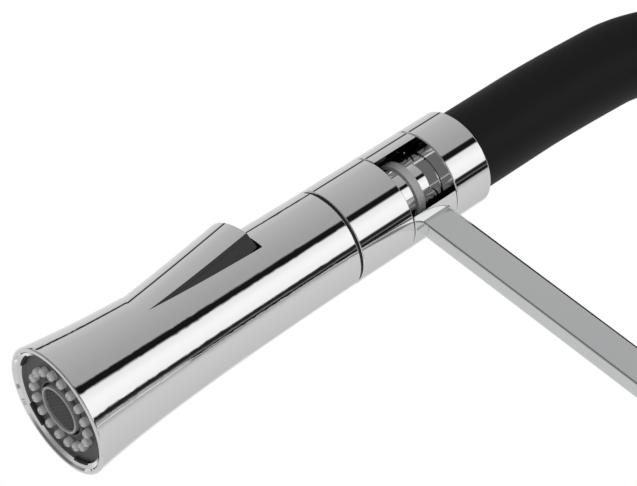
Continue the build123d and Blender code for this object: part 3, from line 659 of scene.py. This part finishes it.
def moulded(name, colour, roughness, grain_scale=900, grain_depth=0.00004):
    """Moulded plastic or rubber with a fine eroded grain."""
    material, board = new_material(name)
    place = board.place()
    grain = board.noise(place, grain_scale, detail=3, roughness=0.55)
    clouds = board.noise(place, scale=70, detail=2)
    shade = board.mix(clouds, tone(colour, 0.85), tone(colour, 1.15))
    board.surface(
        base_color=shade,
        roughness=roughness - 0.06 + grain * 0.12,
        normal=board.bump(grain, grain_depth, strength=0.5),
    )
    return material


def fine_moulded(name, colour, roughness):
    """Moulded silicone or plastic with a finer and shallower grain."""
    return moulded(name, colour, roughness, grain_scale=1500, grain_depth=0.00002)


def turned_metal(name, colour, roughness):
    """Bare metal with the fine lines of turning."""
    material, board = new_material(name)
    place = board.place()
    lines = board.node(
        "ShaderNodeTexWave",
        {"wave_type": "BANDS", "bands_direction": "Z"},
        {"Vector": place, "Scale": 520, "Distortion": 1.5, "Detail": 2, "Detail Scale": 3},
    )
    stain = board.noise(place, scale=60, detail=4)
    shade = board.mix(stain, tone(colour, 0.86), tone(colour))
    board.surface(
        base_color=shade,
        metallic=1.0,
        roughness=roughness + lines * 0.06 + stain * 0.05,
        normal=board.bump(lines, distance=0.00001, strength=0.4),
    )
    return material


def ceramic(finish):
    """Lapped ceramic with a faint speckle."""
    material, board = new_material("ceramic")
    speckle = board.noise(board.place(), scale=2600, detail=2)
    shade = board.mix(speckle, tone(finish.ceramic_colour, 0.94), tone(finish.ceramic_colour))
    board.surface(base_color=shade, roughness=0.18 + speckle * 0.08)
    return material


def paint(thing, material):
    thing.data.materials.clear()
    thing.data.materials.append(material)


class TAP_OT_finishes(bpy.types.Operator):
    """Give every piece of the frame its finish"""

    bl_idname = "tap.finishes"
    bl_label = "Finish the frame's pieces"

    def execute(self, context):
        finish = context.scene.tap_finishes
        by_slot = {
            "chrome": chrome(finish),
            "hose_black": hose_rubber(finish),
            "black_plastic": moulded("black_plastic", finish.plastic_colour, roughness=0.42),
            "black_rubber": moulded("black_rubber", finish.rubber_colour, roughness=0.6),
            "grey_rubber": fine_moulded("grey_silicone", finish.silicone_colour, roughness=0.42),
            "steel": turned_metal("plain_steel", finish.steel_colour, roughness=0.24),
            "brass": turned_metal("turned_brass", finish.brass_colour, roughness=0.22),
            "ceramic": ceramic(finish),
            "index_grey": moulded("grey_plug", finish.plug_colour, roughness=0.25),
        }
        by_node = {
            "rocker": rocker_cap(finish),
            "jet_plate": moulded("nozzle_face", finish.face_colour, roughness=0.5),
            "aerator_ring": fine_moulded("aerator_satin", finish.aerator_colour, roughness=0.35),
            "aerator_screen": moulded("aerator_wire", finish.wire_colour, roughness=0.45),
            "neck_ring": fine_moulded("neck_ring", finish.ring_colour, roughness=0.5),
        }
        for subpart in frame["record"]["subparts"]:
            name = subpart["node"]
            paint(frame["nodes"][name], by_node.get(name) or by_slot[subpart["material_slot"]])
        return {"FINISHED"}


def add_object(name, data):
    made = bpy.data.objects.new(name, data)
    bpy.context.scene.collection.objects.link(made)
    return made


def new_piece(name, mesh, material):
    """A finished piece with its material."""
    piece = add_object(name, mesh)
    paint(piece, bpy.data.materials[material])
    return piece


def shaped_piece(bm, name, material, body, crease=CREASE):
    """A finished piece from its bmesh, smooth but for its sharp edges, that rides on a body of the frame."""
    bmesh.ops.recalc_face_normals(bm, faces=bm.faces)
    mesh = bpy.data.meshes.new(name)
    bm.to_mesh(mesh)
    bm.free()
    mesh.shade_smooth()
    mesh.set_sharp_from_angle(angle=crease)
    piece = new_piece(name, mesh, material)
    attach(piece, body)
    return piece


def outline(bm, corners):
    """A closed line through the corners, as its vertices and its edges."""
    verts = [bm.verts.new(corner) for corner in corners]
    return verts, [bm.edges.new(pair) for pair in zip(verts, verts[1:] + verts[:1])]


def lathe(bm, section, steps, centre=(0, 0)):
    """A turned ring from the corners of its section, radius and height. Gives its vertices."""
    before = set(bm.verts)
    verts, edges = outline(bm, [(centre[0] + radius, centre[1], height) for radius, height in section])
    bmesh.ops.spin(
        bm, geom=verts + edges, cent=(*centre, 0), axis=(0, 0, 1), angle=math.tau, steps=steps, use_merge=True
    )
    return [vert for vert in bm.verts if vert not in before]


def turn_about_axis(bm, verts, angle):
    bmesh.ops.rotate(bm, verts=verts, cent=(0, 0, 0), matrix=Matrix.Rotation(angle, 3, "Z"))


def route_mesh(sizes, radius=0.0):
    """The hose's route as a line of points, or with a radius as a closed tube."""
    curve = bpy.data.curves.new("hose_route", "CURVE")
    curve.dimensions = "3D"
    curve.resolution_u = sizes.rings
    spline = curve.splines.new("NURBS")
    spline.points.add(len(HOSE_ROUTE) - 1)
    for point, place in zip(spline.points, HOSE_ROUTE):
        point.co = (*place, 1)
    spline.order_u = 3
    spline.use_endpoint_u = True
    curve.bevel_depth = radius
    curve.bevel_resolution = sizes.roundness
    curve.use_fill_caps = radius > 0
    carrier = bpy.data.objects.new("hose_route", curve)
    mesh = bpy.data.meshes.new_from_object(carrier)
    bpy.data.objects.remove(carrier)
    bpy.data.curves.remove(curve)
    return mesh


class TAP_OT_hose(bpy.types.Operator):
    """Make the spray's hose, which bends from the column to the spray's collar"""

    bl_idname = "tap.hose"
    bl_label = "Make the hose"

    def execute(self, context):
        sizes = context.scene.tap_hose
        line = route_mesh(sizes)
        bpy.data.meshes.remove(line)
        tube = route_mesh(sizes, sizes.diameter / 2)
        tube.shade_smooth()
        hose = new_piece("spray_hose", tube, "hose_rubber")
        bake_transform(hose)
        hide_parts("hose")
        return {"FINISHED"}


class TAP_OT_arm(bpy.types.Operator):
    """Make the arm's bar, with its upper edges rounded more than its lower ones"""

    bl_idname = "tap.arm"
    bl_label = "Make the arm"

    def execute(self, context):
        sizes = context.scene.tap_arm
        growth = Vector((sizes.across, 0, sizes.upright)) / 2
        low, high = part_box("arm")
        low -= growth
        high += growth
        bm = bmesh.new()
        bmesh.ops.create_cube(bm, size=1)
        bmesh.ops.scale(bm, verts=bm.verts, vec=high - low)
        bmesh.ops.translate(bm, verts=bm.verts, vec=(low + high) / 2)
        for level, radius in ((high.z, sizes.top_round), (low.z, sizes.foot_round)):
            along = [
                edge for edge in bm.edges
                if all(abs(vert.co.z - level) < TOUCH for vert in edge.verts)
                and abs(edge.verts[0].co.x - edge.verts[1].co.x) < TOUCH
            ]
            bmesh.ops.bevel(
                bm, geom=along, offset=radius, offset_type="OFFSET", affect="EDGES",
                segments=8, profile=0.5, material=-1,
            )
        arm = shaped_piece(bm, "arm_bar", "chrome", "riser")
        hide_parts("arm")
        return {"FINISHED"}


def nozzle_sizes():
    """The nozzle's axis, in the plane x = 0, and the radii and heights that its pieces share."""
    plate_low, plate_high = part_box("jet_plate")
    ring_low, ring_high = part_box("aerator_ring")
    return SimpleNamespace(
        axis=Vector((0, (plate_low.y + plate_high.y) / 2, 0)),
        edge=(plate_high.y - plate_low.y) / 2,
        ring=(ring_high.y - ring_low.y) / 2,
        front=plate_low.z,
        back=plate_high.z,
        rim=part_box("spray_shell")[0].z,
    )


def in_slot(point, face, edge):
    """Whether a point on the edge of the face lies in one of its slots."""
    share = math.tau / face.slots
    turn = (math.atan2(point.y, point.x) - face.turn + share / 2) % share - share / 2
    return abs(turn) * edge < face.slot_width / 2


class TAP_OT_face(bpy.types.Operator):
    """Make the nozzle's dark face, with its slots and the collar round the aerator"""

    bl_idname = "tap.face"
    bl_label = "Make the nozzle's face"

    def execute(self, context):
        face = context.scene.tap_face
        nozzle = nozzle_sizes()
        bore = nozzle.ring + HAIR
        groove = nozzle.ring + face.groove_width
        collar = groove + face.collar_width
        floor = nozzle.front + face.groove_depth
        top = nozzle.front - face.collar_rise
        section = (
            (bore, floor),
            (groove, floor),
            (groove, top),
            (collar - face.collar_bevel, top),
            (collar, top + face.collar_bevel),
            (collar, nozzle.front),
            (nozzle.edge, nozzle.front),
            (nozzle.edge, nozzle.back),
            (bore, nozzle.back),
        )
        bm = bmesh.new()
        lathe(bm, section, FACE_STEPS)
        drawn_in = [
            vert for vert in bm.verts
            if vert.co.xy.length > nozzle.edge - TOUCH and in_slot(vert.co, face, nozzle.edge)
        ]
        inward = 1 - face.slot_depth / nozzle.edge
        bmesh.ops.scale(bm, verts=drawn_in, vec=(inward, inward, 1))
        bmesh.ops.translate(bm, verts=bm.verts, vec=nozzle.axis)
        plate = shaped_piece(bm, "nozzle_plate", "nozzle_face", "spray")
        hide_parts("jet_plate")
        return {"FINISHED"}


def lip_corners(nozzle, lip):
    """The middle of the lip's bevel and its inner corner, each as radius and height."""
    bevel = Vector((nozzle.edge + lip.bevel_width / 2, nozzle.rim + lip.bevel_depth / 2))
    return bevel, Vector((nozzle.edge - lip.wall, nozzle.rim + lip.bevel_depth))


class TAP_OT_lip(bpy.types.Operator):
    """Make the bright ring inside the shell's lip"""

    bl_idname = "tap.lip"
    bl_label = "Make the nozzle's lip"

    def execute(self, context):
        nozzle = nozzle_sizes()
        bevel, corner = lip_corners(nozzle, context.scene.tap_lip)
        root = nozzle.front + LIP_SINK
        bm = bmesh.new()
        lathe(bm, (bevel, corner, (corner.x, root), (nozzle.edge + LIP_ROOT, root)), FACE_STEPS)
        bmesh.ops.translate(bm, verts=bm.verts, vec=nozzle.axis)
        shaped_piece(bm, "lip_ring", "chrome", "spray")
        return {"FINISHED"}


class TAP_OT_slot_shade(bpy.types.Operator):
    """Make the painted slot shade: thin black sheets in the slots that stand in for their shade, from the face on
    to the lip's bevel
    """

    bl_idname = "tap.lining"
    bl_label = "Darken the lip's slots"

    def execute(self, context):
        sizes = context.scene.tap_lining
        face = context.scene.tap_face
        nozzle = nozzle_sizes()
        bevel, corner = lip_corners(nozzle, context.scene.tap_lip)
        section = ((corner.x, nozzle.front), corner, corner.lerp(bevel, sizes.reach))
        angle = face.slot_width / nozzle.edge
        bm = bmesh.new()
        for index in range(face.slots):
            line = [bm.verts.new((radius - HAIR, 0, height)) for radius, height in section]
            edges = [bm.edges.new(pair) for pair in zip(line, line[1:])]
            turn_about_axis(bm, line, face.turn + index * math.tau / face.slots - angle / 2)
            bmesh.ops.spin(
                bm, geom=line + edges, cent=(0, 0, 0), axis=(0, 0, 1), angle=angle, steps=SLOT_STEPS
            )
        bmesh.ops.recalc_face_normals(bm, faces=bm.faces)
        bmesh.ops.solidify(bm, geom=bm.faces[:], thickness=sizes.thickness)
        bmesh.ops.translate(bm, verts=bm.verts, vec=nozzle.axis)
        # Painted shade: black sheets where the slots' hollows are only dark
        shaped_piece(bm, "painted_slot_shade", "black_rubber", "spray")
        return {"FINISHED"}


def jet_section(jets, foot, tip):
    """Half of a jet's section, from its foot over its rounded end into its hole."""
    rounding = jets.rounding * jets.radius
    section = [(jets.radius, foot)]
    for step in range(JET_END_STEPS + 1):
        angle = step * math.pi / 2 / JET_END_STEPS
        out = jets.radius - rounding + rounding * math.cos(angle)
        section.append((out, tip + rounding - rounding * math.sin(angle)))
    return section + [(jets.hole, tip), (jets.hole, foot)]


class TAP_OT_jets(bpy.types.Operator):
    """Make the ring of soft jets that stand out of the nozzle's face, and the mat behind them"""

    bl_idname = "tap.jets"
    bl_label = "Make the jets"

    def execute(self, context):
        jets = context.scene.tap_jets
        nozzle = nozzle_sizes()
        low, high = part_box("jet_mat")
        section = jet_section(jets, nozzle.front, low.z)
        bm = bmesh.new()
        for index in range(jets.count):
            jet = lathe(bm, section, JET_STEPS, (jets.ring, 0))
            turn_about_axis(bm, jet, context.scene.tap_face.turn + index * math.tau / jets.count)
        bore = nozzle.ring + HAIR
        edge = (high.y - low.y) / 2
        mat = ((bore, nozzle.back), (edge, nozzle.back), (edge, high.z), (bore, high.z))
        lathe(bm, mat, MAT_STEPS)
        bmesh.ops.translate(bm, verts=bm.verts, vec=nozzle.axis)
        piece = shaped_piece(bm, "nozzle_jets", "grey_silicone", "spray")
        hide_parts("jet_mat")
        return {"FINISHED"}


def woven_wire(bm, sizes, across, half_length, phase, turn):
    """One wire of the mesh: a square section drawn in short steps over and under its neighbours."""
    radius = sizes.wire_radius
    made, edges = outline(bm, [(-half_length, across + radius * y, radius * z) for y, z in WIRE_SECTION])
    steps = max(2, int(WIRE_STEPS * half_length / sizes.pitch))
    for _ in range(steps):
        drawn = bmesh.ops.extrude_edge_only(bm, edges=edges)["geom"]
        edges = [item for item in drawn if isinstance(item, bmesh.types.BMEdge)]
        moved = [item for item in drawn if isinstance(item, bmesh.types.BMVert)]
        bmesh.ops.translate(bm, verts=moved, vec=(2 * half_length / steps, 0, 0))
        made += moved
    for vert in made:
        vert.co.z += radius * math.cos(math.pi * vert.co.x / sizes.pitch + phase)
    turn_about_axis(bm, made, turn)


class TAP_OT_mesh(bpy.types.Operator):
    """Weave the fine wire mesh in front of the aerator's screen"""

    bl_idname = "tap.mesh"
    bl_label = "Make the aerator's mesh"

    def execute(self, context):
        sizes = context.scene.tap_mesh
        low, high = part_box("aerator_screen")
        centre = (low + high) / 2
        inner = (high.x - low.x) / 2
        count = int((inner - sizes.pitch) / sizes.pitch)
        bm = bmesh.new()
        for turn in (0.0, math.pi / 2):
            for index in range(-count, count + 1):
                across = index * sizes.pitch
                half_length = math.sqrt(inner ** 2 - across ** 2)
                phase = math.pi * (index % 2) + (math.pi if turn else 0.0)
                woven_wire(bm, sizes, across, half_length, phase, turn)
        front = low.z - 3 * sizes.wire_radius
        bmesh.ops.translate(bm, verts=bm.verts, vec=(centre.x, centre.y, front))
        bmesh.ops.holes_fill(bm, edges=bm.edges, sides=len(WIRE_SECTION))
        shaped_piece(bm, "aerator_mesh", "aerator_wire", "spray", SMOOTH)
        return {"FINISHED"}


class TAP_OT_spring(bpy.types.Operator):
    """Make the rocker's leaf spring from the frame's spring, with its doubled points merged"""

    bl_idname = "tap.spring"
    bl_label = "Make the rocker's spring"

    def execute(self, context):
        bm = bmesh.new()
        bm.from_mesh(frame["nodes"]["rocker_spring"].data)
        bmesh.ops.remove_doubles(bm, verts=bm.verts, dist=TOUCH)
        spring = shaped_piece(bm, "leaf_spring", "plain_steel", "spray")
        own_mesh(spring)
        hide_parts("rocker_spring")
        return {"FINISHED"}


class TAP_OT_thread(bpy.types.Operator):
    """Make the shank's thread, a ridge that climbs from its lower end to the flange"""

    bl_idname = "tap.thread"
    bl_label = "Make the shank's thread"

    def execute(self, context):
        sizes = context.scene.tap_thread
        low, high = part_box("shank")
        radius = (high.x - low.x) / 2
        foot = sizes.pitch * sizes.flank
        start = low.z + 2 * foot
        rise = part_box("base_flange")[0].z - 2 * foot - start
        turns = rise / sizes.pitch
        steps = int(turns * sizes.steps)
        root = radius - HAIR
        corners = ((root, 0, start - foot), (radius + sizes.depth, 0, start), (root, 0, start + foot))
        bm = bmesh.new()
        verts, edges = outline(bm, corners)
        bmesh.ops.spin(
            bm,
            geom=verts + edges,
            cent=(0, 0, 0),
            axis=(0, 0, 1),
            dvec=(0, 0, rise / steps),
            angle=turns * math.tau,
            steps=steps,
        )
        bmesh.ops.holes_fill(bm, edges=bm.edges, sides=len(corners))
        shaped_piece(bm, "shank_thread", "turned_brass", "base", SMOOTH)
        return {"FINISHED"}


def studio_world(stage):
    """White to the camera, plain light on matt surfaces, and the studio's panels to polished metal."""
    world = bpy.data.worlds.new("studio")
    bpy.context.scene.world = world
    board = Board(world, "ShaderNodeOutputWorld")
    direction = board.axes(board.node("ShaderNodeTexCoord", output="Generated"))
    turn, panels = board.compass(direction, STUDIO_PANELS)
    overhead = board.ease(direction.out("Z"), *OVERHEAD_EDGE)
    hood = board.ease(direction.out("Z"), *HOOD_EDGE)
    beside = (turn > HOOD_SIDES[0] / 360) - (turn > HOOD_SIDES[1] / 360)
    room = board.mix(hood * beside, panels, grey(HOOD_LEVEL))
    room = board.mix(overhead, room, grey(OVERHEAD_LEVEL))
    rays = board.node("ShaderNodeLightPath", output="Is Camera Ray")
    glossy = board.math("MAXIMUM", rays.out("Is Glossy Ray"), rays.out("Is Transmission Ray"))
    seen = board.mix(glossy, grey(stage.fill_level), room)
    light = board.mix(rays, seen, grey(1.0))
    board.finish(board.node("ShaderNodeBackground", {}, {"Color": light, "Strength": 1.0}))


def floor_material(stage):
    """Pale floor that keeps the shadow and fades into the white background at its edge; to polished metal it shows
    painted shade towards +X and in stripes.
    """
    material, board = new_material("studio_floor")
    place = board.axes(board.place())
    reach = (place.out("X") * place.out("X") + place.out("Y") * place.out("Y")) ** 0.5
    fade = board.ease(reach, *(share * stage.floor_radius for share in FLOOR_FADE))
    matt = board.node("ShaderNodeBsdfDiffuse", {}, {"Color": tone(stage.floor_colour)})
    white = board.node("ShaderNodeEmission", {}, {"Color": grey(1.0), "Strength": 1.0})
    plain = board.node("ShaderNodeMixShader", {}, {0: fade, 1: matt, 2: white})
    # Painted shade, seen only in polished metal: darker towards +X and in stripes round the compass
    side = board.ease(place.out("X"), *FLOOR_SIDE, least=FLOOR_SHADE)
    _, stripes = board.compass(place, FLOOR_SHADES)
    dark = board.math("MAXIMUM", side, stripes)
    mirrored = dark * board.node("ShaderNodeLightPath", output="Is Glossy Ray")
    shade = board.node("ShaderNodeEmission", {}, {"Color": grey(stage.shade_level), "Strength": 1.0})
    board.finish(board.node("ShaderNodeMixShader", {}, {0: mirrored, 1: plain, 2: shade}))
    return material


def lay_floor(stage):
    """The floor under the tap, which belongs to the stage."""
    bm = bmesh.new()
    bmesh.ops.create_circle(bm, cap_ends=True, segments=96, radius=stage.floor_radius)
    bmesh.ops.translate(bm, verts=bm.verts, vec=(0, 0, CAD_BOX[0][2]))
    mesh = bpy.data.meshes.new("floor")
    bm.to_mesh(mesh)
    bm.free()
    floor = add_object("floor", mesh)
    paint(floor, floor_material(stage))


def aim(place, target):
    """The turn of a lamp or a camera that faces a target from its place."""
    return (target - place).to_track_quat("-Z", "Y")


def hang_lamp(stage):
    """The soft key lamp, which polished metal and the camera don't show."""
    lamp = bpy.data.lights.new("key", "AREA")
    lamp.shape = "DISK"
    lamp.size = stage.key_size
    lamp.energy = stage.key_power
    key = add_object("key", lamp)
    key.location = stage.key_place
    key.rotation_euler = aim(stage.key_place, stage.key_target).to_euler()
    key.visible_glossy = False
    key.visible_camera = False


def place_camera(stage):
    """The camera, where the photograph was taken from."""
    lens = bpy.data.cameras.new("camera")
    lens.sensor_width = 36
    lens.lens = stage.camera_lens
    lens.clip_start = 0.01
    camera = add_object("camera", lens)
    place = Matrix.Translation(stage.camera_place)
    look = aim(stage.camera_place, stage.camera_target).to_matrix().to_4x4()
    camera.matrix_world = place @ look @ Matrix.Rotation(stage.camera_roll, 4, "Z")
    bpy.context.scene.camera = camera


class TAP_OT_stage(bpy.types.Operator):
    """Set the floor, the lamp, the studio and the camera"""

    bl_idname = "tap.stage"
    bl_label = "Set the stage"

    def execute(self, context):
        stage = context.scene.tap_stage
        context.scene.view_settings.view_transform = "Standard"
        studio_world(stage)
        lay_floor(stage)
        hang_lamp(stage)
        place_camera(stage)
        return {"FINISHED"}


class TAP_PT_panel(bpy.types.Panel):
    """Lists the tap's pieces and its stage"""

    bl_idname = "TAP_PT_panel"
    bl_label = "Mixer tap"
    bl_space_type = "VIEW_3D"
    bl_region_type = "UI"
    bl_category = "Mixer tap"

    def draw(self, context):
        for name, (_, operator) in STEPS.items():
            column = self.layout.column(align=True)
            column.operator(operator.bl_idname)
            settings = getattr(context.scene, name)
            for key in settings.bl_rna.properties.keys():
                if key not in {"rna_type", "name"}:
                    column.prop(settings, key)


# The scene's settings, their classes and the operators that read them, in order
STEPS = {
    "tap_finishes": (TapFinishes, TAP_OT_finishes),
    "tap_hose": (TapHose, TAP_OT_hose),
    "tap_arm": (TapArm, TAP_OT_arm),
    "tap_face": (TapFace, TAP_OT_face),
    "tap_lip": (TapLip, TAP_OT_lip),
    "tap_lining": (TapSlotShade, TAP_OT_slot_shade),
    "tap_jets": (TapJets, TAP_OT_jets),
    "tap_mesh": (TapMesh, TAP_OT_mesh),
    "tap_spring": (TapSpring, TAP_OT_spring),
    "tap_thread": (TapThread, TAP_OT_thread),
    "tap_stage": (TapStage, TAP_OT_stage),
}


def register():
    for name, (group, operator) in STEPS.items():
        bpy.utils.register_class(group)
        setattr(bpy.types.Scene, name, PointerProperty(type=group))
        bpy.utils.register_class(operator)
    bpy.utils.register_class(TAP_PT_panel)


def unregister():
    bpy.utils.unregister_class(TAP_PT_panel)
    for name, (group, operator) in reversed(STEPS.items()):
        bpy.utils.unregister_class(operator)
        delattr(bpy.types.Scene, name)
        bpy.utils.unregister_class(group)


def main():
    register()
    bpy.ops.tap.finishes()
    bpy.ops.tap.hose()
    bpy.ops.tap.arm()
    bpy.ops.tap.face()
    bpy.ops.tap.lip()
    bpy.ops.tap.lining()
    bpy.ops.tap.jets()
    bpy.ops.tap.mesh()
    bpy.ops.tap.spring()
    bpy.ops.tap.thread()
    bpy.ops.tap.stage()


if __name__ == "__main__":
    main()
